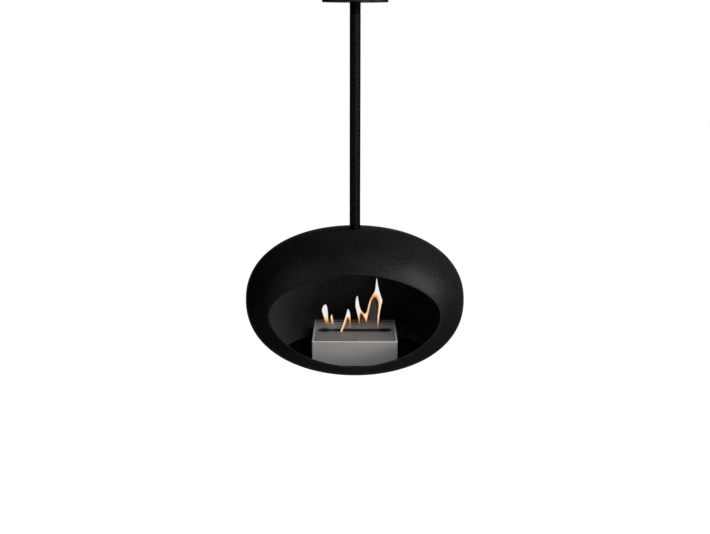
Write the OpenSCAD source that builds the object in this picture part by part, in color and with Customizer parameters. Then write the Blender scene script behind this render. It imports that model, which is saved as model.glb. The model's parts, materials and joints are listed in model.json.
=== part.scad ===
// Hanging fireplace: a round steel fire bowl with an oval mouth, hung from the ceiling
// on one slim pole that turns, with a lift-out liquid-fuel burner closed by a sliding lid.
// Millimetres. The origin is the centre of the ceiling plate's top face, +Z is up,
// and the mouth faces -Y.

/* [Ceiling plate] */
// Diameter of the round ceiling plate
plate_d = 174; // [140:1:240]
// Thickness of the ceiling plate
plate_t = 8; // [7:0.5:14]
// Circle that the ceiling fixing holes lie on
fixing_pcd = 130; // [100:1:136]
// Diameter of each ceiling fixing hole
fixing_hole_d = 9; // [6:0.5:12]
// Width of the pocket for the swivel in the plate's top face
pocket_d = 34; // [32:1:46]
// Depth of that pocket
pocket_depth = 6; // [5.8:0.1:6.5]

/* [Swivel] */
// Length of the hub under the ceiling plate
hub_h = 27; // [18:1:50]
// Wall of the swivel bush
bush_wall = 2; // [1:0.5:3]
// Thickness of the bush's flange
bush_flange_t = 1.2; // [0.8:0.1:1.4]
// Diameter of the bush's flange and of the thrust washer
thrust_d = 28; // [24:1:30]
// Thickness of the thrust washer
thrust_t = 1.2; // [0.8:0.1:1.4]
// Diameter of the swivel bolt's shank
swivel_d = 12; // [8:1:14]
// Thickness of the swivel bolt's flat head
swivel_head_t = 3; // [2:0.1:3.2]
// Length of the swivel bolt that is screwed into the pole
swivel_thread = 26; // [16:1:34]
// Thickness of the slip washer between hub and pole
slip_t = 1; // [0.6:0.1:3]

/* [Pole] */
// Outside diameter of the pole and its hub
pole_d = 29; // [26:1:48]
// Wall of the pole tube
pole_wall = 2; // [1.5:0.5:3]
// Free length from the ceiling plate down to the bowl
drop = 601; // [300:1:1800]
// Length of the plug in the pole's top end
top_plug_h = 40; // [36:1:60]
// Length of the plug in the pole's bottom end
bottom_plug_h = 45; // [36:1:70]
// Diameter of the threaded stud that carries the bowl
stud_d = 12; // [10:1:14]
// Length of the stud that is screwed into the bottom plug
stud_grip = 32; // [20:1:34]

/* [Bowl] */
// Largest diameter of the bowl
bowl_d = 600; // [520:1:720]
// Height of the bowl
bowl_h = 392; // [350:1:460]
// Fullness of the bowl's side view, 2 is an ellipse
bowl_full = 2.2; // [2:0.05:2.6]
// Thickness of the bowl's steel
bowl_t = 2.5; // [1.5:0.5:4]
// Width of the mouth
mouth_w = 444; // [380:1:460]
// Height of the mouth
mouth_h = 243; // [225:1:260]
// Fullness of the mouth's outline, 2 is an ellipse
mouth_full = 1.855; // [1.8:0.005:2.3]

/* [Crown inside the bowl] */
// Diameter of the stiffener pressed to the bowl's curve
crown_d = 130; // [90:1:180]
// Thickness of the stiffener
crown_t = 3; // [2:0.5:5]
// Diameter of the crown washer
crown_washer_d = 44; // [34:1:60]
// Thickness of the crown washer
crown_washer_t = 3; // [2:0.5:5]
// Height of the crown nut
crown_nut_h = 10; // [8:1:14]
// Height of the thinner lock nut
lock_nut_h = 7; // [5:1:10]
// Stud that stands out under the lock nut
stud_tail = 5; // [2:1:12]

/* [Bowl floor] */
// Depth of the floor plate's top below the bowl's middle
floor_depth = 151; // [145:1:156]
// Thickness of the floor plate
floor_t = 2; // [1.5:0.5:4]
// Thickness of each gusset under the floor plate
gusset_t = 3; // [2:0.5:6]
// Radius where the gussets begin
gusset_r = 128; // [100:1:140]
// Width of the tab on top of each gusset
tab_w = 24; // [16:1:40]
// Length of the tab on top of each gusset
tab_l = 34; // [26:1:40]
// Thickness of that tab
tab_t = 3; // [2:0.5:5]
// Number of gussets
gusset_n = 4; // [3:1:6]
// Diameter of the floor screws
floor_screw_d = 5; // [4:1:6]
// Length of the floor screws
floor_screw_l = 12; // [8:1:16]

/* [Burner casing] */
// Width of the burner
burner_w = 228; // [216:1:232]
// Depth of the burner, front to back
burner_d = 228; // [216:1:236]
// Height of the burner with its feet
burner_h = 67.5; // [64:0.5:72]
// Distance of the burner's centre in front of the bowl's centre
burner_y = 30; // [20:1:36]
// Sheet thickness of the burner casing
casing_t = 1.5; // [1:0.1:2]
// Bend radius on the casing's outer edges
casing_bend = 2.6; // [1.6:0.1:4]
// Width of the casing's turned-in side flanges
flange_w = 5; // [3:0.5:8]
// Length of the back panel's turned-in tabs
back_tab = 14; // [10:1:24]
// Diameter of the rivets' shanks
rivet_d = 4; // [3:0.5:5]
// Height of the rivets' heads
rivet_head_t = 1.2; // [0.8:0.1:2]
// Gap under the rivets' heads
rivet_gap = 0.05; // [0.02:0.01:0.1]
// Length of the rivets inside the back panel's tabs
rivet_tail = 1; // [0.5:0.1:2]
// Height of the lower rivets above the casing's floor
rivet_low = 12; // [8:1:20]
// Depth of the upper rivets below the casing's top
rivet_high = 18; // [14:1:24]
// Diameter of the burner's feet
foot_d = 18; // [12:1:26]
// Height of the burner's feet
foot_h = 3; // [2:0.5:5]

/* [Sliding lid] */
// Thickness of the sliding lid
lid_t = 2; // [1.5:0.1:2.5]
// Width of the gap behind the open lid
lid_gap = 18.1; // [17.5:0.1:22]
// Length of the flame slot in the lid
lid_slot_l = 204; // [180:1:206]
// Width of the lid's flame slot along its middle
lid_slot_w = 29; // [22:0.5:29.5]
// Diameter of the round ends of the lid's flame slot
lid_lobe_d = 38; // [30:1:38]
// Distance of the lid's slot behind the burner's middle
lid_slot_y = 8; // [8:0.5:12]
// Diameter of the hole for the lid hook
hook_hole_d = 5.5; // [4.5:0.5:8]
// Distance of the hook hole from the lid's front edge
hook_hole_in = 24.7; // [16:0.1:40]
// Thickness of the runners under the lid
runner_t = 1; // [0.8:0.1:1.5]
// Width of each runner
runner_w = 7; // [5:0.5:8]

/* [Fuel tank] */
// Thickness of the fixed top plate
top_plate_t = 1.5; // [1.2:0.1:2]
// Width of the fixed burner slot
slot_w = 12; // [8:0.5:12]
// Length of the fixed burner slot
slot_l = 176; // [120:1:180]
// Width of the fuel tank
tank_w = 190; // [184:1:192]
// Depth of the fuel tank, front to back
tank_d = 176; // [150:1:186]
// Radius of the tank's upright edges
tank_corner = 8; // [4:1:20]
// Sheet thickness of the tank
tank_t = 1.2; // [0.8:0.1:1.6]
// Width of the flange at the tank's front and back
tank_flange = 15; // [13:0.5:16]
// Gap between the flange's side edges and the casing
flange_gap = 2.5; // [1:0.5:4]
// Radius of the flange's corners
flange_corner = 4; // [2:0.5:8]
// Height of the ceramic wool in the tank
wool_h = 40; // [25:1:42]
// Thickness of the perforated screen on the wool
screen_t = 1; // [0.6:0.1:1.5]
// Size of each square hole in the screen
screen_hole = 5; // [3:0.5:6]
// Pitch of the holes in the screen
screen_pitch = 10; // [8:1:16]
// Diameter of the top plate's screws
plate_screw_d = 4; // [3:0.5:4]
// Distance of the top plate's screws from the flange's side edges
screw_inset = 10; // [8:0.5:14]
// Height of the weld nuts under the tank flange
weld_nut_h = 3.2; // [2:0.1:5]
// Length of each top plate screw below its nut
screw_tail = 2; // [0.5:0.5:4]

/* [Clearances] */
// Radial clearance of the turning swivel
run_fit = 0.05; // [0.02:0.01:0.1]
// Gap between pieces that turn or slide past each other
slide_gap = 0.3; // [0.2:0.05:0.5]
// Gap between fixed pieces that are slipped together
slip_fit = 0.2; // [0.1:0.05:0.4]
// Gap between flat faces that bear on each other and turn
bearing_gap = 0.1; // [0.05:0.05:0.15]
// Bevel on the outer edges of plate, hub and pole
edge_break = 0.8; // [0.3:0.1:1.5]

/* [Hidden] */

$fn = 64;
bowl_steps = 72;
mouth_steps = 96;
eps = 1;

// Heights from the ceiling down
hub_bottom = -plate_t - hub_h;
pole_top = hub_bottom - bearing_gap - slip_t;
bowl_top = -plate_t - drop;
bowl_mid = bowl_top - bowl_h / 2;
floor_z = bowl_mid - floor_depth;
pocket_floor = -pocket_depth;
swivel_head_z = pocket_floor + bush_flange_t + thrust_t + 2 * bearing_gap;

// Bores that share one axis
bush_bore = swivel_d + 2 * run_fit;
bush_d = bush_bore + 2 * bush_wall;
pole_bore = pole_d - 2 * pole_wall;
plug_d = pole_bore - 2 * slip_fit;
swivel_hole = swivel_d + 2 * run_fit;
stud_hole = stud_d + 2 * run_fit;
stud_clear = stud_d + 1;

// Crown stack under the bowl's top, from the inner face down
crown_washer_top = bowl_mid + bowl_height(crown_washer_d / 2, bowl_t + slip_fit + crown_t) - run_fit;
crown_nut_top = crown_washer_top - crown_washer_t;
lock_nut_top = crown_nut_top - crown_nut_h;
stud_end = lock_nut_top - lock_nut_h - stud_tail;
nut_width = 1.6 * stud_d;

// Burner heights above the bowl floor
casing_in_w = burner_w - 2 * casing_t;
casing_in_d = burner_d - 2 * casing_t;
tank_seat = foot_h + casing_t;
lid_top = burner_h - casing_t - slide_gap;
runner_top = lid_top - lid_t - slide_gap;
top_plate_top = runner_top - runner_t;
tank_top = top_plate_top - top_plate_t;
wool_seat = tank_seat + tank_t;
wool_top = wool_seat + wool_h;
sheet_in_w = casing_in_w - 2 * slide_gap;
lid_front = -casing_in_d / 2 + slide_gap;
lid_back = casing_in_d / 2 - lid_gap;
hook_hole_y = lid_front + hook_hole_in;
runner_x = sheet_in_w / 2 - runner_w;
top_plate_y = casing_in_d - 2 * slide_gap;
flange_x = casing_in_w - 2 * flange_gap;
flange_y = tank_d + 2 * tank_flange;
plate_screw_hole = plate_screw_d + slip_fit;
plate_screw_x = flange_x / 2 - screw_inset;
plate_screw_y = tank_d / 2 + tank_flange / 2;
plate_screw_l = top_plate_t + tank_t + weld_nut_h + screw_tail;
rivet_head = 1.9 * rivet_d;
rivet_z = [tank_seat + rivet_low, burner_h - rivet_high];
floor_screw_r = gusset_r + tab_l / 2 + 4;
floor_screw_hole = floor_screw_d + slip_fit;

// Point on the bowl's outline at angle a, moved inward along the normal by inset
function bowl_point(a, inset) =
    let (
        s = sign(a),
        c = abs(cos(a)),
        v = abs(sin(a)),
        normal_r = pow(c, 2 - 2 / bowl_full) / (bowl_d / 2),
        normal_z = pow(v, 2 - 2 / bowl_full) / (bowl_h / 2),
        len = norm([normal_r, normal_z])
    )
    [
        bowl_d / 2 * pow(c, 2 / bowl_full) - inset * normal_r / len,
        s * (bowl_h / 2 * pow(v, 2 / bowl_full) - inset * normal_z / len)
    ];
function bowl_angles() = [for (i = [0 : bowl_steps]) -90 + 180 * i / bowl_steps];
function bowl_line(inset) = [for (a = bowl_angles()) bowl_point(a, inset)];
// Radius of the bowl's line at height z above its middle
function bowl_radius(z, inset) = lookup(z, [for (p = bowl_line(inset)) [p[1], p[0]]]);
// Distance of the bowl's line above or below its middle at radius r
function bowl_height(r, inset) = lookup(r, [for (p = bowl_line(inset)) if (p[1] < 0) [p[0], -p[1]]]);
function reversed(list) = [for (i = [len(list) - 1 : -1 : 0]) list[i]];

// Point on the mouth's outline
function mouth_point(a) = [
    sign(cos(a)) * mouth_w / 2 * pow(abs(cos(a)), 2 / mouth_full),
    sign(sin(a)) * mouth_h / 2 * pow(abs(sin(a)), 2 / mouth_full)
];

module at_bowl() {
    translate([0, 0, bowl_mid]) children();
}

module at_burner() {
    translate([0, -burner_y, floor_z + slip_fit]) children();
}

module each_gusset() {
    for (i = [0 : gusset_n - 1]) rotate([0, 0, 360 * (i + 0.5) / gusset_n]) children();
}

module each_corner(x, y) {
    for (sx = [-1, 1], sy = [-1, 1]) translate([sx * x, sy * y, 0]) children();
}

// Block with its low face at z = 0, centred in plan
module plan_block(w, d, h) {
    translate([-w / 2, -d / 2, 0]) cube([w, d, h]);
}

// Rectangle with round corners, centred
module round_rect(w, d, r) {
    square([w - 2 * r, d], center = true);
    square([w, d - 2 * r], center = true);
    for (sx = [-1, 1], sy = [-1, 1]) {
        translate([sx * (w / 2 - r), sy * (d / 2 - r)]) circle(r);
    }
}

// Cutter that rounds an outer edge along X at the origin, the solid lying to +Y and -Z
module edge_cutter(length, r) {
    difference() {
        translate([-length / 2, -eps, -r]) cube([length, r + eps, r + eps]);
        translate([-length / 2 - eps, r, -r]) rotate([0, 90, 0]) cylinder(r = r, h = length + 2 * eps);
    }
}

// Long slot with larger round ends
module dog_bone(length, width, lobe_d) {
    square([length - lobe_d, width], center = true);
    for (s = [-1, 1]) translate([s * (length - lobe_d) / 2, 0]) circle(d = lobe_d);
}

// Countersunk screw, its head's top at z = 0
module flat_head_screw(d, length) {
    head = d / 2;
    translate([0, 0, -head]) cylinder(d1 = d, d2 = 2 * d, h = head);
    translate([0, 0, -length]) cylinder(d = d, h = length - head);
}

// Hole for that screw
module flat_head_hole(d, depth) {
    head = d / 2;
    translate([0, 0, -head]) cylinder(d1 = d, d2 = 2 * d, h = head);
    translate([0, 0, -depth]) cylinder(d = d, h = depth - head + 0.01);
    cylinder(d = 2 * d, h = eps);
}

module hex_nut(width, height, bore) {
    difference() {
        cylinder(d = width / cos(30), h = height, $fn = 6);
        translate([0, 0, -eps]) cylinder(d = bore, h = height + 2 * eps);
    }
}

// ---- Ceiling side, which stays still ----

module ceiling_plate() {
    color("#17171a") difference() {
        union() {
            translate([0, 0, -plate_t + edge_break]) cylinder(d = plate_d, h = plate_t - edge_break);
            translate([0, 0, -plate_t]) cylinder(d1 = plate_d - 2 * edge_break, d2 = plate_d, h = edge_break);
        }
        translate([0, 0, pocket_floor]) cylinder(d = pocket_d, h = pocket_depth + eps);
        translate([0, 0, -plate_t - eps]) cylinder(d = bush_d, h = plate_t + eps);
        for (a = [45 : 90 : 315]) {
            rotate([0, 0, a]) translate([fixing_pcd / 2, 0, -plate_t - eps])
                cylinder(d = fixing_hole_d, h = plate_t + 2 * eps);
        }
    }
}

module ceiling_hub() {
    color("#141416") translate([0, 0, hub_bottom]) difference() {
        union() {
            translate([0, 0, edge_break]) cylinder(d = pole_d, h = hub_h - edge_break);
            cylinder(d1 = pole_d - 2 * edge_break, d2 = pole_d, h = edge_break);
        }
        translate([0, 0, -eps]) cylinder(d = bush_d, h = hub_h + 2 * eps);
    }
}

module swivel_bush() {
    color("#b08a4a") difference() {
        union() {
            translate([0, 0, hub_bottom]) cylinder(d = bush_d - 2 * run_fit, h = pocket_floor - hub_bottom);
            translate([0, 0, pocket_floor]) cylinder(d = thrust_d, h = bush_flange_t);
        }
        translate([0, 0, hub_bottom - eps]) cylinder(d = bush_bore, h = hub_h + plate_t + eps);
    }
}

module thrust_washer() {
    color("#c8c8c4") translate([0, 0, pocket_floor + bush_flange_t + bearing_gap]) difference() {
        cylinder(d = thrust_d, h = thrust_t);
        translate([0, 0, -eps]) cylinder(d = bush_bore, h = thrust_t + 2 * eps);
    }
}

// ---- Pole and bowl, which turn ----

module swivel_bolt() {
    color("#9a9ca0") union() {
        translate([0, 0, swivel_head_z]) cylinder(d = thrust_d, h = swivel_head_t);
        translate([0, 0, pole_top - swivel_thread])
            cylinder(d = swivel_d, h = swivel_head_z - pole_top + swivel_thread);
    }
}

module slip_washer() {
    color("#2b2b2e") translate([0, 0, pole_top]) difference() {
        cylinder(d = pole_d - 2 * edge_break, h = slip_t);
        translate([0, 0, -eps]) cylinder(d = swivel_hole, h = slip_t + 2 * eps);
    }
}

module pole_top_plug() {
    color("#85878b") translate([0, 0, pole_top - top_plug_h]) difference() {
        cylinder(d = plug_d, h = top_plug_h);
        translate([0, 0, -eps]) cylinder(d = swivel_hole, h = top_plug_h + 2 * eps);
    }
}

module pole_tube() {
    tube_h = pole_top - bowl_top;
    color("#121214") translate([0, 0, bowl_top]) difference() {
        union() {
            cylinder(d = pole_d, h = tube_h - edge_break);
            translate([0, 0, tube_h - edge_break])
                cylinder(d1 = pole_d, d2 = pole_d - 2 * edge_break, h = edge_break);
        }
        translate([0, 0, -eps]) cylinder(d = pole_bore, h = tube_h + 2 * eps);
    }
}

module pole_bottom_plug() {
    color("#85878b") translate([0, 0, bowl_top]) difference() {
        cylinder(d = plug_d, h = bottom_plug_h);
        translate([0, 0, -eps]) cylinder(d = stud_hole, h = bottom_plug_h + 2 * eps);
    }
}

module hanging_stud() {
    color("#9a9ca0") translate([0, 0, stud_end]) cylinder(d = stud_d, h = bowl_top + stud_grip - stud_end);
}

// Pressed half of the bowl, up (side 1) or down (side -1) from the welded seam at its widest line
module bowl_half(side) {
    outer = [for (p = bowl_line(0)) if (side * p[1] >= 0) p];
    inner = [for (p = bowl_line(bowl_t)) if (side * p[1] >= 0) p];
    color("#151517") at_bowl() difference() {
        rotate_extrude($fn = 180) polygon(concat(outer, reversed(inner)));
        rotate([90, 0, 0]) linear_extrude(height = bowl_d)
            polygon([for (i = [0 : mouth_steps - 1]) mouth_point(360 * i / mouth_steps)]);
        cylinder(d = stud_clear, h = bowl_h);
    }
}

module bowl_upper() {
    bowl_half(1);
}

module bowl_lower() {
    bowl_half(-1);
}

module crown_stiffener() {
    inset = bowl_t + slip_fit;
    outer = [for (p = bowl_line(inset)) if (p[1] > 0 && p[0] <= crown_d / 2) p];
    inner = [for (p = bowl_line(inset + crown_t)) if (p[1] > 0 && p[0] <= crown_d / 2) p];
    color("#232326") at_bowl() difference() {
        rotate_extrude() polygon(concat(outer, reversed(inner)));
        cylinder(d = stud_clear, h = bowl_h);
    }
}

module crown_washer() {
    color("#9a9ca0") translate([0, 0, crown_nut_top]) difference() {
        cylinder(d = crown_washer_d, h = crown_washer_t);
        translate([0, 0, -eps]) cylinder(d = stud_clear, h = crown_washer_t + 2 * eps);
    }
}

module crown_nut() {
    color("#8c8e92") translate([0, 0, lock_nut_top]) hex_nut(nut_width, crown_nut_h, stud_hole);
}

module lock_nut() {
    color("#8c8e92") translate([0, 0, lock_nut_top - lock_nut_h]) hex_nut(nut_width, lock_nut_h, stud_hole);
}

// Gusset outline in the radius and height plane, its outer edge on the bowl's inner face
module gusset_outline() {
    inset = bowl_t + slip_fit;
    top = -floor_depth - floor_t - tab_t;
    edge = [for (p = bowl_line(inset)) if (p[1] < top && p[0] > gusset_r) p];
    low = -bowl_height(gusset_r, inset);
    polygon(concat(
        [[gusset_r, top], [gusset_r, low]],
        edge,
        [[bowl_radius(top, inset), top]]
    ));
}

module floor_gussets() {
    tab_z = -floor_depth - floor_t - tab_t;
    color("#1c1c1f") at_bowl() each_gusset() difference() {
        union() {
            translate([0, gusset_t / 2, 0]) rotate([90, 0, 0]) linear_extrude(height = gusset_t) gusset_outline();
            translate([gusset_r, -tab_w / 2, tab_z]) cube([tab_l, tab_w, tab_t]);
        }
        translate([floor_screw_r, 0, -floor_depth]) flat_head_hole(floor_screw_hole, 2 * floor_screw_l);
    }
}

module floor_plate() {
    radius = bowl_radius(-floor_depth - floor_t, bowl_t) - slip_fit;
    color("#101012") at_bowl() difference() {
        translate([0, 0, -floor_depth - floor_t]) cylinder(r = radius, h = floor_t, $fn = 180);
        each_gusset() translate([floor_screw_r, 0, -floor_depth]) flat_head_hole(floor_screw_hole, floor_t + eps);
    }
}

module floor_screws() {
    color("#3a3b3e") at_bowl() each_gusset() translate([floor_screw_r, 0, -floor_depth])
        flat_head_screw(floor_screw_d, floor_screw_l);
}

// ---- Burner, which lifts out through the mouth ----

module burner_casing() {
    wall_h = burner_h - foot_h;
    color("#7d7c79") at_burner() difference() {
        translate([0, 0, foot_h]) linear_extrude(height = wall_h) round_rect(burner_w, burner_d, casing_bend);
        // inside, up to the turned-in flanges, and open at the back
        translate([0, casing_t, foot_h + casing_t])
            plan_block(casing_in_w, burner_d, wall_h - 2 * casing_t);
        translate([-casing_in_w / 2, casing_in_d / 2, foot_h + casing_t])
            cube([casing_in_w, 2 * casing_t, wall_h]);
        // open top between the flanges
        translate([0, casing_t, burner_h - 2 * casing_t])
            plan_block(burner_w - 2 * flange_w, burner_d, 3 * casing_t);
        // bends along the front and side top edges
        translate([0, -burner_d / 2, burner_h]) edge_cutter(burner_w + 2, casing_bend / 2);
        for (s = [-1, 1]) {
            rotate([0, 0, s * 90]) translate([0, -burner_w / 2, burner_h])
                edge_cutter(burner_d + 2, casing_bend / 2);
        }
        for (s = [-1, 1], z = rivet_z) {
            translate([s * burner_w / 2, casing_in_d / 2 - back_tab / 2, z]) rotate([0, 90, 0])
                cylinder(d = rivet_d + slip_fit, h = 4 * casing_t, center = true);
        }
    }
}

module casing_back() {
    panel_w = casing_in_w - 2 * slip_fit;
    panel_h = burner_h - foot_h - casing_t - slip_fit;
    color("#73726f") at_burner() difference() {
        translate([0, 0, tank_seat + slip_fit]) union() {
            translate([-panel_w / 2, casing_in_d / 2, 0]) cube([panel_w, casing_t, panel_h]);
            for (s = [-1, 1]) translate([s * (panel_w - casing_t) / 2, casing_in_d / 2 - back_tab / 2, 0])
                plan_block(casing_t, back_tab + 0.1, tank_top - tank_t - tank_seat - 2 * slip_fit);
        }
        for (s = [-1, 1], z = rivet_z) {
            translate([s * panel_w / 2, casing_in_d / 2 - back_tab / 2, z]) rotate([0, 90, 0])
                cylinder(d = rivet_d + slip_fit, h = 4 * casing_t, center = true);
        }
    }
}

module casing_rivets() {
    inner_end = casing_in_w / 2 - slip_fit - casing_t;
    color("#a8a7a4") at_burner() for (s = [-1, 1], z = rivet_z) {
        translate([0, casing_in_d / 2 - back_tab / 2, z]) rotate([0, s * 90, 0]) {
            translate([0, 0, inner_end - rivet_tail])
                cylinder(d = rivet_d, h = burner_w / 2 - inner_end + rivet_tail + rivet_head_t / 2);
            translate([0, 0, burner_w / 2 + rivet_gap])
                cylinder(d1 = rivet_head, d2 = rivet_d, h = rivet_head_t);
        }
    }
}

module burner_feet() {
    color("#2a2a2a") at_burner() each_corner(burner_w / 2 - foot_d, burner_d / 2 - foot_d)
        cylinder(d = foot_d, h = foot_h);
}

module fuel_tank() {
    color("#8b8a86") at_burner() difference() {
        union() {
            translate([0, 0, tank_seat]) linear_extrude(height = tank_top - tank_seat)
                round_rect(tank_w, tank_d, tank_corner);
            translate([0, 0, tank_top - tank_t]) linear_extrude(height = tank_t)
                round_rect(flange_x, flange_y, flange_corner);
        }
        translate([0, 0, tank_seat + tank_t]) linear_extrude(height = tank_top)
            round_rect(tank_w - 2 * tank_t, tank_d - 2 * tank_t, tank_corner - tank_t);
        each_corner(plate_screw_x, plate_screw_y) translate([0, 0, top_plate_top])
            flat_head_hole(plate_screw_hole, plate_screw_l);
    }
}

module ceramic_wool() {
    side = 2 * tank_t + 2 * slip_fit;
    color("#e6e2d8") at_burner() translate([0, 0, wool_seat]) linear_extrude(height = wool_h)
        round_rect(tank_w - side, tank_d - side, tank_corner - side / 2);
}

module wool_screen() {
    side = 2 * tank_t + 4 * slip_fit;
    nx = floor((slot_l / 2) / screen_pitch);
    color("#6c6b68") at_burner() translate([0, 0, wool_top]) difference() {
        linear_extrude(height = screen_t) round_rect(tank_w - side, tank_d - side, tank_corner - side / 2);
        for (i = [-nx : nx], j = [-1 : 1]) translate([i * screen_pitch, j * screen_pitch, -eps])
            plan_block(screen_hole, screen_hole, screen_t + 2 * eps);
    }
}

module burner_top_plate() {
    color("#1d1c1c") at_burner() difference() {
        translate([0, 0, tank_top]) plan_block(sheet_in_w, top_plate_y, top_plate_t);
        translate([0, 0, tank_top - eps]) linear_extrude(height = top_plate_t + 2 * eps)
            dog_bone(slot_l, slot_w, slot_w);
        each_corner(plate_screw_x, plate_screw_y) translate([0, 0, top_plate_top])
            flat_head_hole(plate_screw_hole, top_plate_t + eps);
    }
}

module top_plate_screws() {
    color("#55565a") at_burner() each_corner(plate_screw_x, plate_screw_y) translate([0, 0, top_plate_top])
        flat_head_screw(plate_screw_d, plate_screw_l);
}

module tank_weld_nuts() {
    color("#8c8e92") at_burner() each_corner(plate_screw_x, plate_screw_y)
        translate([0, 0, tank_top - tank_t - weld_nut_h])
            hex_nut(1.75 * plate_screw_d, weld_nut_h, plate_screw_d + 2 * run_fit);
}

module runner(side) {
    color("#6a5f45") at_burner() translate([side * (runner_x + runner_w / 2), 0, top_plate_top])
        plan_block(runner_w, top_plate_y, runner_t);
}

module runner_left() {
    runner(-1);
}

module runner_right() {
    runner(1);
}

// ---- Lid, drawn fully open ----

module sliding_lid() {
    color("#625f5b") at_burner() difference() {
        translate([-sheet_in_w / 2, lid_front, lid_top - lid_t])
            cube([sheet_in_w, lid_back - lid_front, lid_t]);
        translate([0, lid_slot_y, lid_top - lid_t - eps]) linear_extrude(height = lid_t + 2 * eps)
            dog_bone(lid_slot_l, lid_slot_w, lid_lobe_d);
        translate([0, hook_hole_y, lid_top - lid_t - eps])
            cylinder(d = hook_hole_d, h = lid_t + 2 * eps);
    }
}

ceiling_plate();
ceiling_hub();
swivel_bush();
thrust_washer();
swivel_bolt();
slip_washer();
pole_top_plug();
pole_tube();
pole_bottom_plug();
hanging_stud();
bowl_upper();
bowl_lower();
crown_stiffener();
crown_washer();
crown_nut();
lock_nut();
floor_gussets();
floor_plate();
floor_screws();
burner_casing();
casing_back();
casing_rivets();
burner_feet();
fuel_tank();
ceramic_wool();
wool_screen();
burner_top_plate();
top_plate_screws();
tank_weld_nuts();
runner_left();
runner_right();
sliding_lid();
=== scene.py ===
import json
import math

import bmesh
import bpy
import numpy as np
from mathutils import Matrix, Vector
from mathutils.geometry import delaunay_2d_cdt


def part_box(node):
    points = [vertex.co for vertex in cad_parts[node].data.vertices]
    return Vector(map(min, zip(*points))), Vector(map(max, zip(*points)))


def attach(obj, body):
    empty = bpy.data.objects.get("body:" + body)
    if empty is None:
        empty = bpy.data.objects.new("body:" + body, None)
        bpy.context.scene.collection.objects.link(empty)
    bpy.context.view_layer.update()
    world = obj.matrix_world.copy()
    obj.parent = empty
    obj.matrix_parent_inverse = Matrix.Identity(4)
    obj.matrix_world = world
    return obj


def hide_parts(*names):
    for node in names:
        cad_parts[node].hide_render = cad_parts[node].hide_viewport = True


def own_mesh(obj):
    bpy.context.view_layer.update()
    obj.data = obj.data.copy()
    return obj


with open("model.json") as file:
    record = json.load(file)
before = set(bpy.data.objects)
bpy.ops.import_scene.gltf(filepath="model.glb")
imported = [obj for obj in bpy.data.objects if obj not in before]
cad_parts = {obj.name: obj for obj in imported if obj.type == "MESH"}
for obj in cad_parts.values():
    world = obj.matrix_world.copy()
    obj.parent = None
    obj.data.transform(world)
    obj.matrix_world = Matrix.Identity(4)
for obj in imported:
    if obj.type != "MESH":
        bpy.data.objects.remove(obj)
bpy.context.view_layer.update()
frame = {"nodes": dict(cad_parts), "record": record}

# A round steel fire bowl with an oval mouth, hung from the ceiling on a slim pole, with its
# burner lit. Metres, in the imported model's frame: origin on the ceiling, +Z up, mouth to -Y.

# ---- Sizes, from the frame where it has them ----

UPPER_LOW, UPPER_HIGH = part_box("bowl_upper")
LOWER_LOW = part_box("bowl_lower")[0]
CASING_LOW, CASING_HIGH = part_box("burner_casing")
LID_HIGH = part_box("sliding_lid")[1]
FLOOR_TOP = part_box("floor_plate")[1].z

BOWL_MID = UPPER_LOW.z
BOWL_RADIUS = (UPPER_HIGH.x - UPPER_LOW.x) / 2
BOWL_HALF_HEIGHT = (UPPER_HIGH.z - LOWER_LOW.z) / 2
BOWL_FULLNESS = 2.2
BOWL_STEEL = 0.0025
MOUTH_HALF_WIDTH = 0.222
MOUTH_HALF_HEIGHT = 0.1215
MOUTH_FULLNESS = 1.855
RIM_EDGE = 0.0005

AROUND_MOUTH = 288
FRONT_TO_BACK = 110
PROFILE_POINTS = 2400

PLINTH_STEEL = 0.0015
PLINTH_GAP = 0.0003
PLINTH_CORNER = 0.001
PLINTH_CORNER_STEPS = 3

FLAME_Y = (CASING_LOW.y + CASING_HIGH.y) / 2
FLAME_BASE = LID_HIGH.z


# ---- Node helpers ----

# Nearly all of a noise texture's values lie between these two.
NOISE_LOW = 0.3
NOISE_HIGH = 0.7


def new_material(name, colour, metallic, roughness, specular):
    """A Principled material whose constants sit on the shader's own sockets."""
    material = bpy.data.materials.new(name)
    material.use_nodes = True
    shader = material.node_tree.nodes["Principled BSDF"]
    shader.inputs["Base Color"].default_value = (*colour, 1)
    shader.inputs["Metallic"].default_value = metallic
    shader.inputs["Roughness"].default_value = roughness
    shader.inputs["Specular IOR Level"].default_value = specular
    material.diffuse_color = (*colour, 1)
    return material, shader


def node(material, kind, **values):
    """A new node of this kind, with its settings."""
    made = material.node_tree.nodes.new(kind)
    for key, value in values.items():
        setattr(made, key, value)
    return made


def link(material, source, target):
    material.node_tree.links.new(source, target)


def noise(material, scale, stretch=(1, 1, 1), detail=3):
    """Noise in the object's own coordinates, scale in features per metre."""
    place = node(material, "ShaderNodeTexCoord")
    mapping = node(material, "ShaderNodeMapping")
    mapping.inputs["Scale"].default_value = stretch
    texture = node(material, "ShaderNodeTexNoise")
    texture.inputs["Scale"].default_value = scale
    texture.inputs["Detail"].default_value = detail
    link(material, place.outputs["Object"], mapping.inputs["Vector"])
    link(material, mapping.outputs["Vector"], texture.inputs["Vector"])
    return texture.outputs["Fac"]


def ramp(material, source, stops):
    """A colour ramp over source, stops being (position, colour)."""
    made = node(material, "ShaderNodeValToRGB")
    elements = made.color_ramp.elements
    for i, (position, colour) in enumerate(stops):
        element = elements[i] if i < 2 else elements.new(position)
        element.position = position
        element.color = (*colour, 1)
    link(material, source, made.inputs["Fac"])
    return made.outputs["Color"]


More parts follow.
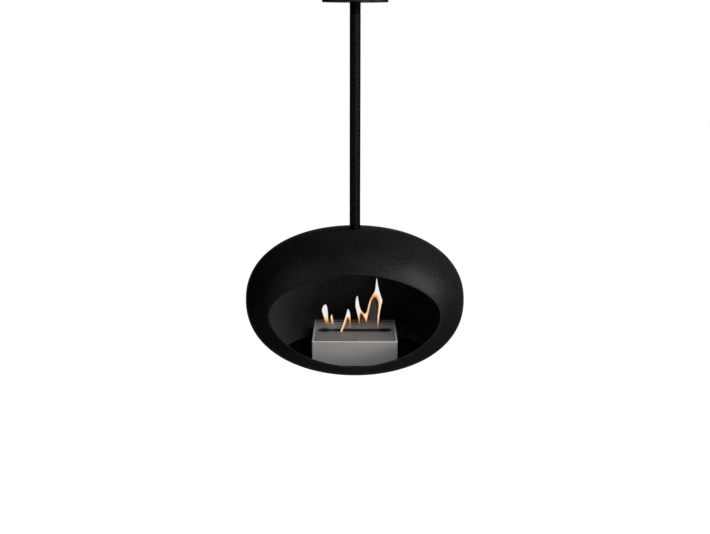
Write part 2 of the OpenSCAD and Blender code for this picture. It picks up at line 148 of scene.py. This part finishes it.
def spread(material, source, low, high, source_low=NOISE_LOW, source_high=NOISE_HIGH):
    """source mapped to the range low to high."""
    made = node(material, "ShaderNodeMapRange")
    made.inputs["From Min"].default_value = source_low
    made.inputs["From Max"].default_value = source_high
    made.inputs["To Min"].default_value = low
    made.inputs["To Max"].default_value = high
    link(material, source, made.inputs["Value"])
    return made.outputs["Result"]


def bump(material, shader, source, strength, distance):
    made = node(material, "ShaderNodeBump")
    made.inputs["Strength"].default_value = strength
    made.inputs["Distance"].default_value = distance
    link(material, source, made.inputs["Height"])
    link(material, made.outputs["Normal"], shader.inputs["Normal"])


def shades(colour, *shares):
    """The colour times each share."""
    return [tuple(min(1, share * c) for c in colour) for share in shares]


def uneven_gloss(material, shader, source, roughness, span):
    """Roughness that follows source, from span[0] under its middle value to span[1] over it."""
    rough = spread(material, source, roughness - span[0], roughness + span[1])
    link(material, rough, shader.inputs["Roughness"])


# ---- Materials ----

COAT_TINT = (1, 0.99, 0.97)
COAT_EDGE = 0.02
COAT_GRAIN = 190
COAT_GRAIN_DETAIL = 6
COAT_CLOUD = 11
COAT_RELIEF = 0.0008
COAT_GLOSS = (0.05, 0.06)
COAT_DARK = 0.7
COAT_PALE = 1.15
COAT_SPECK = 1.9
SPECK_SHARE = 0.4
SPECK_SPAN = (0.42, 0.6)

STREAK_STRETCH = (18, 1300, 1300)
STREAK_DETAIL = 5
STREAK_STRENGTH = 0.15
STREAK_RELIEF = 0.00006
BRUSHED_CLOUD = 24
BRUSHED_GLOSS = (0.04, 0.05)

MOTTLE_DETAIL = 4
MOTTLE_STRENGTH = 0.3
MOTTLE_GLOSS = (0.06, 0.06)

# Upright part of a normal: up to the first a face counts as upright, from the second as level.
UPRIGHT_SPAN = (0.4, 0.8)

# Depth of the painted highlights on the casing's top edge and the lid's back edge, the share of it
# where each painted highlight has its full colour, and how far back from the flames the lid turns paler,
# as painted light.
PAINTED_HIGHLIGHT_BEND = 0.0012
PAINTED_HIGHLIGHT_EDGE = 0.011
PAINTED_HIGHLIGHT_FULL = 0.7
LID_PAINTED_LIGHT_REACH = 0.05


def powder_coat(name, shade, metallic, roughness, relief):
    """Matt black powder coat: a fine orange-peel grain with a slightly uneven depth of black."""
    colour = tuple(part * shade for part in COAT_TINT)
    material, shader = new_material(name, colour, metallic, roughness, 0)
    shader.inputs["Specular Tint"].default_value = (COAT_EDGE, COAT_EDGE, COAT_EDGE, 1)
    grain = noise(material, COAT_GRAIN, detail=COAT_GRAIN_DETAIL)
    cloud = noise(material, COAT_CLOUD, detail=2)
    dark, light, speck = shades(colour, COAT_DARK, COAT_PALE, COAT_SPECK)
    uneven = ramp(material, cloud, [(NOISE_LOW, dark), (NOISE_HIGH, light)])
    share = spread(material, grain, 0, SPECK_SHARE, *SPECK_SPAN)
    link(material, blend(material, share, uneven, speck), shader.inputs["Base Color"])
    uneven_gloss(material, shader, grain, roughness, COAT_GLOSS)
    bump(material, shader, grain, relief, COAT_RELIEF)
    return material


def upright(material):
    """1 on faces that stand upright, 0 on level ones."""
    place = node(material, "ShaderNodeTexCoord")
    sizes = node(material, "ShaderNodeVectorMath", operation="ABSOLUTE")
    parts = node(material, "ShaderNodeSeparateXYZ")
    link(material, place.outputs["Normal"], sizes.inputs[0])
    link(material, sizes.outputs["Vector"], parts.inputs["Vector"])
    return spread(material, parts.outputs["Z"], 1, 0, *UPRIGHT_SPAN)


def past(material, axis, start, full):
    """0 before start and 1 beyond full, along one axis of the piece's own space."""
    place = node(material, "ShaderNodeTexCoord")
    parts = node(material, "ShaderNodeSeparateXYZ")
    link(material, place.outputs["Object"], parts.inputs["Vector"])
    return spread(material, parts.outputs[axis], 0, 1, start, full)


def blend(material, share, shade, colour):
    """shade, turning to colour where share is 1."""
    mixed = node(material, "ShaderNodeMix", data_type="RGBA")
    link(material, share, mixed.inputs["Factor"])
    link(material, shade, mixed.inputs["A"])
    mixed.inputs["B"].default_value = (*colour, 1)
    return mixed.outputs["Result"]


def brushed_steel(name, colour, metallic, roughness, contrast, zones=()):
    """Sheet brushed along X: long fine streaks in colour, gloss and relief.

    zones are the places of another colour: what finds each one, with its values, and the colour.
    """
    material, shader = new_material(name, colour, metallic, roughness, 0.5)
    streaks = noise(material, 1, stretch=STREAK_STRETCH, detail=STREAK_DETAIL)
    cloud = noise(material, BRUSHED_CLOUD, detail=2)
    dark, light = shades(colour, 1 - contrast, 1 + contrast)
    shade = ramp(material, streaks, [(NOISE_LOW, dark), (NOISE_HIGH, light)])
    for find_zone, values, zone_colour in zones:
        shade = blend(material, find_zone(material, *values), shade, zone_colour)
    link(material, shade, shader.inputs["Base Color"])
    uneven_gloss(material, shader, cloud, roughness, BRUSHED_GLOSS)
    bump(material, shader, streaks, STREAK_STRENGTH, STREAK_RELIEF)
    return material


def cast_finish(name, colour, metallic, roughness, scale, contrast, depth):
    """Plain finish with soft mottling, for plated, blackened, turned or moulded pieces."""
    material, shader = new_material(name, colour, metallic, roughness, 0.5)
    mottle = noise(material, scale, detail=MOTTLE_DETAIL)
    dark, light = shades(colour, 1 - contrast, 1 + contrast)
    mottled = ramp(material, mottle, [(NOISE_LOW, dark), (NOISE_HIGH, light)])
    link(material, mottled, shader.inputs["Base Color"])
    uneven_gloss(material, shader, mottle, roughness, MOTTLE_GLOSS)
    bump(material, shader, mottle, MOTTLE_STRENGTH, depth)
    return material


def flame_glow():
    """Light of the flames: heat 0 is a grey veil, 0.1 deep orange, 1 white; veil 0 is clear, 1 full."""
    material = bpy.data.materials.new("flame_glow")
    material.use_nodes = True
    tree = material.node_tree
    tree.nodes.remove(tree.nodes["Principled BSDF"])
    heat = node(material, "ShaderNodeAttribute", attribute_name="flame_heat")
    veil = node(material, "ShaderNodeAttribute", attribute_name="flame_veil")
    glow = node(material, "ShaderNodeEmission")
    clear = node(material, "ShaderNodeBsdfTransparent")
    mixed = node(material, "ShaderNodeMixShader")
    stops = [
        (0.0, (0.32, 0.31, 0.33)),
        (0.1, (0.46, 0.12, 0.04)),
        (0.28, (0.83, 0.32, 0.075)),
        (0.5, (0.94, 0.64, 0.28)),
        (0.75, (0.90, 0.81, 0.66)),
        (1.0, (0.87, 0.85, 0.81)),
    ]
    link(material, ramp(material, heat.outputs["Fac"], stops), glow.inputs["Color"])
    link(material, veil.outputs["Fac"], mixed.inputs["Fac"])
    link(material, clear.outputs["BSDF"], mixed.inputs[1])
    link(material, glow.outputs["Emission"], mixed.inputs[2])
    link(material, mixed.outputs["Shader"], tree.nodes["Material Output"].inputs["Surface"])
    return material


# The bend along the casing's top edge and the lid's back edge carry painted highlights, and the lid's
# back part is painted paler than its front, as painted light. Soot has left the lid's cut edges black.
CASING_PAINTED_HIGHLIGHT = ("Z", CASING_HIGH.z - PAINTED_HIGHLIGHT_BEND, CASING_HIGH.z - PAINTED_HIGHLIGHT_FULL * PAINTED_HIGHLIGHT_BEND)
LID_PAINTED_HIGHLIGHT = ("Y", LID_HIGH.y - PAINTED_HIGHLIGHT_EDGE, LID_HIGH.y - PAINTED_HIGHLIGHT_FULL * PAINTED_HIGHLIGHT_EDGE)
CASING_PAINTED_HIGHLIGHTS = [
    # Painted highlight along the casing's top bend.
    (past, CASING_PAINTED_HIGHLIGHT, (0.76, 0.755, 0.75)),
]
LID_SOOT_AND_PAINTED_LIGHT = [
    # Painted light: the lid turns paler from the flames backwards.
    (past, ("Y", FLAME_Y, FLAME_Y + LID_PAINTED_LIGHT_REACH), (0.64, 0.632, 0.615)),
    # Painted highlight along the lid's back edge.
    (past, LID_PAINTED_HIGHLIGHT, (0.78, 0.77, 0.76)),
    (upright, (), (0.008, 0.007, 0.006)),
]
# After the name, powder_coat takes shade, metallic share, roughness and relief, brushed_steel
# colour, metallic share, roughness, contrast and zones, and cast_finish colour, metallic share,
# roughness, scale of the mottling, contrast and depth.
MATERIALS = {
    "black_coat": powder_coat("black_coat", 0.0077, 0.6, 0.39, 0.9),
    # Painted light: the bowl's inside takes a coat far paler than its outside, for the light falling in
    # through the mouth.
    "inner_coat_painted_light": powder_coat("inner_coat_painted_light", 0.061, 0.08, 0.5, 0.9),
    # Painted shade: darker copies of the black coat for the pole and the ceiling hub.
    "pole_coat_painted_shade": powder_coat("pole_coat_painted_shade", 0.0031, 0.9, 0.34, 0.03),
    "hub_coat_painted_shade": powder_coat("hub_coat_painted_shade", 0.0016, 0.8, 0.45, 0.05),
    "bronze": cast_finish("bronze", (0.55, 0.38, 0.18), 0.9, 0.35, 90, 0.12, 0.00003),
    "slip_plastic": powder_coat("slip_plastic", 0.002, 0.5, 0.5, 0.1),
    "bolt_steel": cast_finish("bolt_steel", (0.42, 0.42, 0.44), 0.9, 0.36, 140, 0.1, 0.00003),
    "burner_steel": brushed_steel("burner_steel", (0.243, 0.239, 0.232), 0.3, 0.44, 0.05, CASING_PAINTED_HIGHLIGHTS),
    "lid_steel": brushed_steel("lid_steel", (0.335, 0.325, 0.312), 0.3, 0.46, 0.05, LID_SOOT_AND_PAINTED_LIGHT),
    # A darker steel for the casing's back panel.
    "darker_back_steel": brushed_steel("darker_back_steel", (0.1, 0.092, 0.084), 0.2, 0.55, 0.12),
    "blackened_steel": cast_finish(
        "blackened_steel", (0.012, 0.0105, 0.0095), 0.2, 0.6, 70, 0.35, 0.00008
    ),
    "tank_steel": brushed_steel("tank_steel", (0.28, 0.28, 0.27), 0.6, 0.4, 0.08),
    "runner_brass": cast_finish("runner_brass", (0.3, 0.24, 0.12), 0.8, 0.42, 120, 0.12, 0.00003),
    "white_wool": cast_finish("white_wool", (0.74, 0.71, 0.64), 0, 0.9, 260, 0.12, 0.0008),
    "foot_rubber": cast_finish("foot_rubber", (0.02, 0.02, 0.02), 0, 0.75, 200, 0.15, 0.0001),
    "flame_glow": flame_glow(),
}


# ---- Dressing of the CAD nodes ----

def dress_nodes():
    """Each node takes the material of its slot in the record, or its own copy of it: painted-shade coats
    for the pole and hub, a darker steel for the casing's back.
    """
    slots = {row["node"]: row["material_slot"] for row in frame["record"]["subparts"]}
    own = {"pole_tube": "pole_coat_painted_shade", "ceiling_hub": "hub_coat_painted_shade", "casing_back": "darker_back_steel"}
    for name, piece in frame["nodes"].items():
        piece.data.materials.clear()
        piece.data.materials.append(MATERIALS[own.get(name, slots[name])])


# ---- The bowl's skin ----

def bowl_profile(inset):
    """Radius and height of the bowl's quarter outline, moved inward by inset, widest line first."""
    angle = np.linspace(0, math.pi / 2, PROFILE_POINTS)
    c, s = np.cos(angle), np.sin(angle)
    c[-1] = 0
    normal_r = c ** (2 - 2 / BOWL_FULLNESS) / BOWL_RADIUS
    normal_z = s ** (2 - 2 / BOWL_FULLNESS) / BOWL_HALF_HEIGHT
    length = np.hypot(normal_r, normal_z)
    radius = BOWL_RADIUS * c ** (2 / BOWL_FULLNESS) - inset * normal_r / length
    height = BOWL_HALF_HEIGHT * s ** (2 / BOWL_FULLNESS) - inset * normal_z / length
    return radius, height


class BowlFace:
    """One face of the bowl's steel, at a given depth under the outer one."""

    def __init__(self, inset):
        self.radius, self.height = bowl_profile(inset)
        self.slope = np.arctan2(self.height, self.radius)
        self.reach = np.hypot(self.radius, self.height)

    def along(self, direction):
        """Point where a ray from the bowl's middle meets the face."""
        slope = math.atan2(abs(direction.z), math.hypot(direction.x, direction.y))
        return direction * float(np.interp(slope, self.slope, self.reach))

    def in_front(self, x, z):
        """Point of the face's front side at a given x and z."""
        radius = float(np.interp(abs(z), self.height, self.radius))
        return Vector((x, -math.sqrt(radius ** 2 - x ** 2), z))


def mouth_reach(angle):
    """Distance from the mouth's middle to its edge."""
    c, s = abs(math.cos(angle)), abs(math.sin(angle))
    share = (c / MOUTH_HALF_WIDTH) ** MOUTH_FULLNESS + (s / MOUTH_HALF_HEIGHT) ** MOUTH_FULLNESS
    return share ** (-1 / MOUTH_FULLNESS)


def face_rows(face, edge):
    """Rings of points from the mouth's edge, widened by edge, back to the bowl's rear."""
    rows = [[] for _ in range(FRONT_TO_BACK)]
    for i in range(AROUND_MOUTH):
        around = 2 * math.pi * i / AROUND_MOUTH
        reach = mouth_reach(around) + edge
        rim = face.in_front(reach * math.cos(around), reach * math.sin(around))
        start = math.atan2(reach, -rim.y)
        rows[0].append(rim)
        for k in range(1, FRONT_TO_BACK):
            polar = start + (math.pi - start) * k / FRONT_TO_BACK
            out = math.sin(polar)
            direction = Vector((out * math.cos(around), -math.cos(polar), out * math.sin(around)))
            rows[k].append(face.along(direction))
    return rows


def rim_ring(face, edge):
    """One ring along the mouth's cut, set back from the face by edge."""
    ring = []
    for i in range(AROUND_MOUTH):
        around = 2 * math.pi * i / AROUND_MOUTH
        reach = mouth_reach(around)
        point = face.in_front(reach * math.cos(around), reach * math.sin(around))
        ring.append(point + Vector((0, edge, 0)))
    return ring


def make_bowl():
    outer_face, inner_face = BowlFace(0), BowlFace(BOWL_STEEL)
    outer = face_rows(outer_face, RIM_EDGE)
    inner = face_rows(inner_face, RIM_EDGE)
    cut = [rim_ring(outer_face, RIM_EDGE), rim_ring(inner_face, -RIM_EDGE)]
    rings = outer[::-1] + cut + inner
    mesh = bmesh.new()
    rows = [[mesh.verts.new(p + Vector((0, 0, BOWL_MID))) for p in ring] for ring in rings]
    inner_start = len(outer) + len(cut)
    for number, (low, high) in enumerate(zip(rows, rows[1:])):
        for i in range(AROUND_MOUTH):
            j = (i + 1) % AROUND_MOUTH
            made = mesh.faces.new((low[i], low[j], high[j], high[i]))
            made.material_index = int(number >= inner_start)
    for row, face, finish in ((rows[0], outer_face, 0), (rows[-1], inner_face, 1)):
        rear = face.along(Vector((0, 1, 0))) + Vector((0, 0, BOWL_MID))
        pole = mesh.verts.new(rear)
        for i in range(AROUND_MOUTH):
            made = mesh.faces.new((row[i], row[(i + 1) % AROUND_MOUTH], pole))
            made.material_index = finish
    bmesh.ops.recalc_face_normals(mesh, faces=mesh.faces)
    piece = add_mesh("bowl_skin", mesh, "black_coat")
    piece.data.materials.append(MATERIALS["inner_coat_painted_light"])
    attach(piece, "bowl")
    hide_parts("bowl_upper", "bowl_lower")


def add_mesh(name, mesh, material, smooth=True):
    """Turns a bmesh into an object."""
    data = bpy.data.meshes.new(name)
    for face in mesh.faces:
        face.smooth = smooth
    mesh.to_mesh(data)
    mesh.free()
    piece = bpy.data.objects.new(name, data)
    bpy.context.scene.collection.objects.link(piece)
    piece.data.materials.append(MATERIALS[material])
    return piece


# ---- The burner's foot ----

def make_plinth():
    """The casing's turned-down lower edge: a frame that hides its feet and ends just off the floor."""
    middle = (CASING_LOW + CASING_HIGH) / 2
    half = (CASING_HIGH - CASING_LOW) / 2
    low, high = FLOOR_TOP + PLINTH_GAP, CASING_LOW.z - PLINTH_GAP
    mesh = bmesh.new()
    rings = []
    for inset, z in ((0, low), (0, high), (PLINTH_STEEL, high), (PLINTH_STEEL, low)):
        x, y = half.x - inset, half.y - inset
        corners = [(-x, -y), (x, -y), (x, y), (-x, y)]
        rings.append([mesh.verts.new((middle.x + a, middle.y + b, z)) for a, b in corners])
    for ring, after in zip(rings, rings[1:] + rings[:1]):
        for i in range(4):
            j = (i + 1) % 4
            mesh.faces.new((ring[i], ring[j], after[j], after[i]))
    upright_edges = [e for e in mesh.edges if e.verts[0].co.z != e.verts[1].co.z]
    bmesh.ops.bevel(
        mesh, geom=upright_edges, offset=PLINTH_CORNER, segments=PLINTH_CORNER_STEPS, affect="EDGES"
    )
    bmesh.ops.recalc_face_normals(mesh, faces=mesh.faces)
    piece = add_mesh("burner_plinth", mesh, "burner_steel", smooth=False)
    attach(piece, "burner")


# ---- Flames ----
# Outlines in millimetres: how orange the edge glows there from 0 to 1, then the place along
# the slot from the burner's middle and the height above the lid's top.

LEFT_FLAME = [
    (0.0, -81, 74), (0.0, -87, 68), (0.0, -90, 58), (0.0, -87.5, 48), (0.1, -84.5, 38),
    (0.2, -81.5, 27), (0.4, -76, 14), (0.3, -72.5, 24), (0.0, -73.5, 38), (0.0, -74.5, 54),
    (0.0, -75.5, 64), (0.0, -77.5, 71),
]
SMALL_FLAME = [
    (0.1, -63, 46), (0.1, -66, 39), (0.15, -65, 29), (0.3, -62.5, 18), (0.3, -57.5, 13),
    (0.3, -58.5, 28), (0.2, -60.5, 38),
]
MIDDLE_FLAME = [
    (0.0, -19, 61), (0.0, -22, 51), (0.0, -26.5, 36), (0.0, -33.5, 14), (0.05, -40.5, -4),
    (0.1, -41, -9), (0.15, -37.5, -8), (0.25, -32, 4), (0.5, -25, 20), (1.0, -18.8, 35),
    (0.8, -15, 24), (0.7, -12, 8), (0.3, -11.5, 26), (0.0, -12, 38), (0.0, -14, 53),
]
TALL_FLAME = [
    (0.0, 7, 100), (0.0, 3, 88), (0.0, 2, 72), (0.0, 5, 56), (0.05, 8.5, 41),
    (0.2, 10.5, 28), (0.5, 11.5, 10), (0.5, 13.5, 26), (0.6, 15, 43), (0.6, 18, 48.5),
    (0.5, 26, 36), (0.6, 32, 23), (0.4, 36, 40), (0.3, 40, 59), (0.5, 44, 78),
    (1.3, 49, 91), (1.9, 55, 96), (1.3, 60, 91.5), (0.7, 64, 80), (0.3, 64, 62),
    (0.3, 62, 38), (0.5, 62.5, 4), (0.3, 65, 12), (0.1, 66.5, 32), (0.0, 68.5, 52),
    (0.0, 72, 72), (0.0, 75, 86), (0.0, 71.5, 98), (0.0, 66.5, 115), (0.0, 63, 131),
    (0.0, 60, 148), (0.0, 57.5, 132), (0.0, 55, 114), (0.0, 48.5, 102), (0.05, 41.5, 88),
    (0.15, 36, 68), (0.35, 32, 54), (0.4, 27.5, 49), (0.25, 23, 52), (0.1, 17.5, 58),
    (0.0, 12.5, 72), (0.0, 10, 87),
]
ARCH_VEIL = [
    (0.0, 54, 97), (0.0, 44, 82), (0.0, 38, 56), (0.0, 33, 26), (0.0, 24, 40), (0.0, 15, 46),
    (0.0, 12, 4), (0.0, 26, -8), (0.0, 40, -6), (0.0, 54, -8), (0.0, 64, -4), (0.0, 64, 40),
    (0.0, 63, 78),
]
LEFT_VEIL = [
    (0.0, -76, 30), (0.0, -75, 8), (0.0, -69, -9), (0.0, -55, -9), (0.0, -56, 20), (0.0, -62, 24),
]
# Each flame's outline, the span of heights over which its foot fades in, and the span over
# which its middle turns from orange to white.
FLAMES = {
    "flame_left": (LEFT_FLAME, (18, 31), (22, 54)),
    "flame_small": (SMALL_FLAME, (12, 34), (6, 58)),
    "flame_middle": (MIDDLE_FLAME, (-20, -8), (-50, -2)),
    "flame_tall": (TALL_FLAME, (4, 30), (-40, 4)),
}
VEILS = {
    "veil_arch": (ARCH_VEIL, (-12, 40)),
    "veil_left": (LEFT_VEIL, (-14, 10)),
}
VEIL_SHARE = 0.055
VEIL_EDGE = 0.006
MILLIMETRE = 0.001
OUTLINE_STEP = 0.0011
FLAME_GRID = 0.0019
GRID_CLEARANCE = 0.6 * OUTLINE_STEP
ON_OUTLINE = 1e-5
CDT_INSIDE_ONLY = 1
CDT_TOLERANCE = 1e-7
FLAME_THICKNESS = 0.0042
FLAME_EDGE = 0.004
SHORTEST_GLOW = 0.003
GLOW_REACH = 0.0075
ORANGE_GAIN = 5
PALE_EDGE = 0.0026
PALE_GAIN = 0.55
DEEPEST_ORANGE = 0.16
FLAME_SWAY = 0.0035
SWAY_ALONG = 19
SWAY_UP = 42


def closed_spline(points, step):
    """A closed Catmull-Rom line through points, with each sample's share of orange edge."""
    line, orange = [], []
    count = len(points)
    for i in range(count):
        p = [Vector(points[(i + k) % count][1:]) * MILLIMETRE for k in (-1, 0, 1, 2)]
        hot = [points[(i + k) % count][0] for k in (0, 1)]
        steps = max(2, int((p[2] - p[1]).length / step))
        for k in range(steps):
            t = k / steps
            a = 2 * p[1]
            b = (p[2] - p[0]) * t
            c = (2 * p[0] - 5 * p[1] + 4 * p[2] - p[3]) * t ** 2
            d = (3 * p[1] - p[0] - 3 * p[2] + p[3]) * t ** 3
            line.append((a + b + c + d) / 2)
            orange.append(hot[0] * (1 - t) + hot[1] * t)
    return line, orange


def inside(point, line):
    """True if point lies within the closed line."""
    found = False
    for a, b in zip(line, line[1:] + line[:1]):
        if (a.y > point.y) != (b.y > point.y):
            if point.x < a.x + (point.y - a.y) * (b.x - a.x) / (b.y - a.y):
                found = not found
    return found


def soft_step(value):
    value = max(0.0, min(1.0, value))
    return value * value * (3 - 2 * value)


def between(height, span):
    """Soft step from 0 to 1 as height, in metres, passes span, in millimetres."""
    return soft_step((height * 1000 - span[0]) / (span[1] - span[0]))


def distances(point, edge):
    """Distance from point to each sample of the outline."""
    return np.hypot(*(edge - np.array(point)).T)


def flame_grid(line, edge):
    """Points within the closed line, in rows that are offset by half a step."""
    low = Vector((min(p.x for p in line), min(p.y for p in line)))
    high = Vector((max(p.x for p in line), max(p.y for p in line)))
    grid = []
    for i in range(int((high.x - low.x) / FLAME_GRID)):
        for k in range(int((high.y - low.y) / FLAME_GRID)):
            point = low + Vector(((i + 0.5 * (k % 2)) * FLAME_GRID, k * FLAME_GRID))
            if distances(point, edge).min() > GRID_CLEARANCE and inside(point, line):
                grid.append(point)
    return grid


def heat_at(height, distance, hot_edge, cooling):
    """Heat of a flame at a height: orange along the hot parts of its edge and under the cooling span."""
    glow_reach = SHORTEST_GLOW + GLOW_REACH * hot_edge
    far_off = 1 - np.minimum(1, ORANGE_GAIN * hot_edge)
    warm = soft_step((distance / glow_reach + far_off).min())
    pale = PALE_GAIN * (1 - soft_step(distance.min() / PALE_EDGE))
    warm = min(warm, between(height, cooling) + pale)
    return DEEPEST_ORANGE + (1 - DEEPEST_ORANGE) * warm


def make_flame(name, outline, foot, cooling=None):
    """A thin curved lens of hot gas, closed, with its glow in two vertex attributes.

    Without cooling it is a faint grey veil.
    """
    line, orange = closed_spline(outline, OUTLINE_STEP)
    edge = np.array([(p.x, p.y) for p in line])
    hot_edge = np.array(orange)
    points = line + flame_grid(line, edge)
    border = [list(range(len(line)))]
    flat, _, faces, *_ = delaunay_2d_cdt(points, [], border, CDT_INSIDE_ONLY, CDT_TOLERANCE)
    mesh = bmesh.new()
    for layer in ("flame_heat", "flame_veil"):
        mesh.verts.layers.float.new(layer)
    heat = mesh.verts.layers.float["flame_heat"]
    veil = mesh.verts.layers.float["flame_veil"]
    sides = {}
    for side in (-1, 1):
        for index, point in enumerate(flat):
            distance = distances(point, edge)
            depth = distance.min()
            if depth < ON_OUTLINE and side == 1:
                sides[side, index] = sides[-1, index]
                continue
            half = FLAME_THICKNESS / 2 * math.sqrt(1 - (1 - min(1, depth / FLAME_EDGE)) ** 2)
            sway = FLAME_SWAY * math.sin(point.y * SWAY_UP + point.x * SWAY_ALONG)
            vertex = mesh.verts.new((point.x, FLAME_Y + sway + side * half, FLAME_BASE + point.y))
            vertex[veil] = between(point.y, foot)
            if cooling:
                vertex[heat] = heat_at(point.y, distance, hot_edge, cooling)
            else:
                vertex[veil] *= VEIL_SHARE * soft_step(depth / VEIL_EDGE)
            sides[side, index] = vertex
    for side in (-1, 1):
        for face in faces:
            corners = [sides[side, i] for i in face]
            if len(set(corners)) == 3 and mesh.faces.get(corners) is None:
                mesh.faces.new(corners)
    bmesh.ops.recalc_face_normals(mesh, faces=mesh.faces)
    piece = add_mesh(name, mesh, "flame_glow")
    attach(piece, "burner")
    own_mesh(piece)


# ---- Camera, light and floor ----

CAMERA_PLACE = Vector((0.00044, -3.0350, -0.0649))
CAMERA_PITCH = math.radians(12.12)
CAMERA_ROLL = 0.0015
CAMERA_LENS = 57.28
CAMERA_SENSOR = 36
CAMERA_REACH = 100
FLOOR_HEIGHT = -2.4
FLOOR_SIZE = 30
FLOOR_CELLS = 8
FLOOR_WHITE = 0.2
# The floor's glow under the pole and at FLOOR_FADE from there.
FLOOR_GLOW = (0.56, 1.0)
FLOOR_FADE = 3.6
WORLD_FILL = 0.08
# Azimuth from the front to the right and elevation in degrees, distance, width and height in
# metres, power in watts.
SOFTBOXES = {
    "right": (90, 46, 3.0, 1.7, 2.1, 142),
    "right_low": (88, 18, 3.0, 1.2, 1.4, 80),
    "rear": (150, 35, 3.0, 1.6, 1.6, 105),
    "rear_low": (120, 15, 3.0, 1.6, 1.6, 25),
    "side": (40, 12, 3.5, 1.0, 2.2, 74),
    "front": (18, 31, 3.3, 1.2, 0.9, 54),
    "centre": (22, 1, 3.5, 1.0, 1.0, 13),
    "low": (0, -80, 1.4, 1.3, 1.3, 28),
    "left": (-95, 45, 3.0, 1.6, 1.6, 13),
    "left_low": (-75, -20, 3.0, 1.4, 1.4, 14),
}


def add_camera():
    data = bpy.data.cameras.new("camera")
    data.sensor_fit = "HORIZONTAL"
    data.sensor_width = CAMERA_SENSOR
    data.lens = CAMERA_LENS
    data.clip_end = CAMERA_REACH
    camera = bpy.data.objects.new("camera", data)
    turn = Matrix.Rotation(math.pi / 2 - CAMERA_PITCH, 4, "X") @ Matrix.Rotation(CAMERA_ROLL, 4, "Z")
    camera.matrix_world = Matrix.Translation(CAMERA_PLACE) @ turn
    bpy.context.scene.collection.objects.link(camera)
    bpy.context.scene.camera = camera


def add_softbox(name, azimuth, elevation, distance, width, height, power):
    """A soft box that faces the bowl's middle, azimuth in degrees from the front to the right."""
    data = bpy.data.lights.new(name, "AREA")
    data.shape = "RECTANGLE"
    data.size = width
    data.size_y = height
    data.energy = power
    lamp = bpy.data.objects.new(name, data)
    turn, rise = math.radians(azimuth), math.radians(elevation)
    flat = math.cos(rise)
    away = Vector((flat * math.sin(turn), -flat * math.cos(turn), math.sin(rise)))
    lamp.location = Vector((0, 0, BOWL_MID)) + away * distance
    lamp.rotation_mode = "QUATERNION"
    lamp.rotation_quaternion = away.to_track_quat("Z", "Y")
    lamp.visible_camera = False
    bpy.context.scene.collection.objects.link(lamp)


def seen_directly(tree):
    """1 for camera, glossy and transmission rays, so that metal shows the same background."""
    path = tree.nodes.new("ShaderNodeLightPath")
    first = tree.nodes.new("ShaderNodeMath")
    second = tree.nodes.new("ShaderNodeMath")
    second.use_clamp = True
    tree.links.new(path.outputs["Is Camera Ray"], first.inputs[0])
    tree.links.new(path.outputs["Is Glossy Ray"], first.inputs[1])
    tree.links.new(first.outputs["Value"], second.inputs[0])
    tree.links.new(path.outputs["Is Transmission Ray"], second.inputs[1])
    return second.outputs["Value"]


def set_world():
    world = bpy.data.worlds.new("studio")
    world.use_nodes = True
    tree = world.node_tree
    fill = tree.nodes["Background"]
    fill.inputs["Color"].default_value = (1, 1, 1, 1)
    fill.inputs["Strength"].default_value = WORLD_FILL
    white = tree.nodes.new("ShaderNodeBackground")
    white.inputs["Color"].default_value = (1, 1, 1, 1)
    white.inputs["Strength"].default_value = 1
    mixed = tree.nodes.new("ShaderNodeMixShader")
    tree.links.new(seen_directly(tree), mixed.inputs["Fac"])
    tree.links.new(fill.outputs["Background"], mixed.inputs[1])
    tree.links.new(white.outputs["Background"], mixed.inputs[2])
    tree.links.new(mixed.outputs["Shader"], tree.nodes["World Output"].inputs["Surface"])
    bpy.context.scene.world = world


def add_floor():
    """A floor that shows nearly white, by a glow that only direct and mirrored looks see."""
    mesh = bmesh.new()
    bmesh.ops.create_grid(mesh, x_segments=FLOOR_CELLS, y_segments=FLOOR_CELLS, size=FLOOR_SIZE / 2)
    data = bpy.data.meshes.new("floor")
    mesh.to_mesh(data)
    mesh.free()
    floor = bpy.data.objects.new("floor", data)
    floor.location = (0, 0, FLOOR_HEIGHT)
    bpy.context.scene.collection.objects.link(floor)
    material = bpy.data.materials.new("floor_white")
    material.use_nodes = True
    tree = material.node_tree
    tree.nodes.remove(tree.nodes["Principled BSDF"])
    matt = tree.nodes.new("ShaderNodeBsdfDiffuse")
    matt.inputs["Color"].default_value = (FLOOR_WHITE, FLOOR_WHITE, FLOOR_WHITE, 1)
    glow = tree.nodes.new("ShaderNodeEmission")
    place = tree.nodes.new("ShaderNodeTexCoord")
    away = tree.nodes.new("ShaderNodeVectorMath")
    away.operation = "LENGTH"
    faded = tree.nodes.new("ShaderNodeMapRange")
    faded.inputs["From Max"].default_value = FLOOR_FADE
    faded.inputs["To Min"].default_value = FLOOR_GLOW[0]
    faded.inputs["To Max"].default_value = FLOOR_GLOW[1]
    scaled = tree.nodes.new("ShaderNodeMath")
    scaled.operation = "MULTIPLY"
    tree.links.new(place.outputs["Object"], away.inputs[0])
    tree.links.new(away.outputs["Value"], faded.inputs["Value"])
    tree.links.new(faded.outputs["Result"], scaled.inputs[1])
    both = tree.nodes.new("ShaderNodeAddShader")
    tree.links.new(seen_directly(tree), scaled.inputs[0])
    tree.links.new(scaled.outputs["Value"], glow.inputs["Strength"])
    tree.links.new(matt.outputs["BSDF"], both.inputs[0])
    tree.links.new(glow.outputs["Emission"], both.inputs[1])
    tree.links.new(both.outputs["Shader"], tree.nodes["Material Output"].inputs["Surface"])
    data.materials.append(material)


# ---- The scene ----

dress_nodes()
make_bowl()
make_plinth()
for flame_name, flame_values in (FLAMES | VEILS).items():
    make_flame(flame_name, *flame_values)

add_camera()
set_world()
add_floor()
for softbox_name, softbox_values in SOFTBOXES.items():
    add_softbox(f"softbox_{softbox_name}", *softbox_values)

bpy.context.scene.view_settings.view_transform = "Standard"
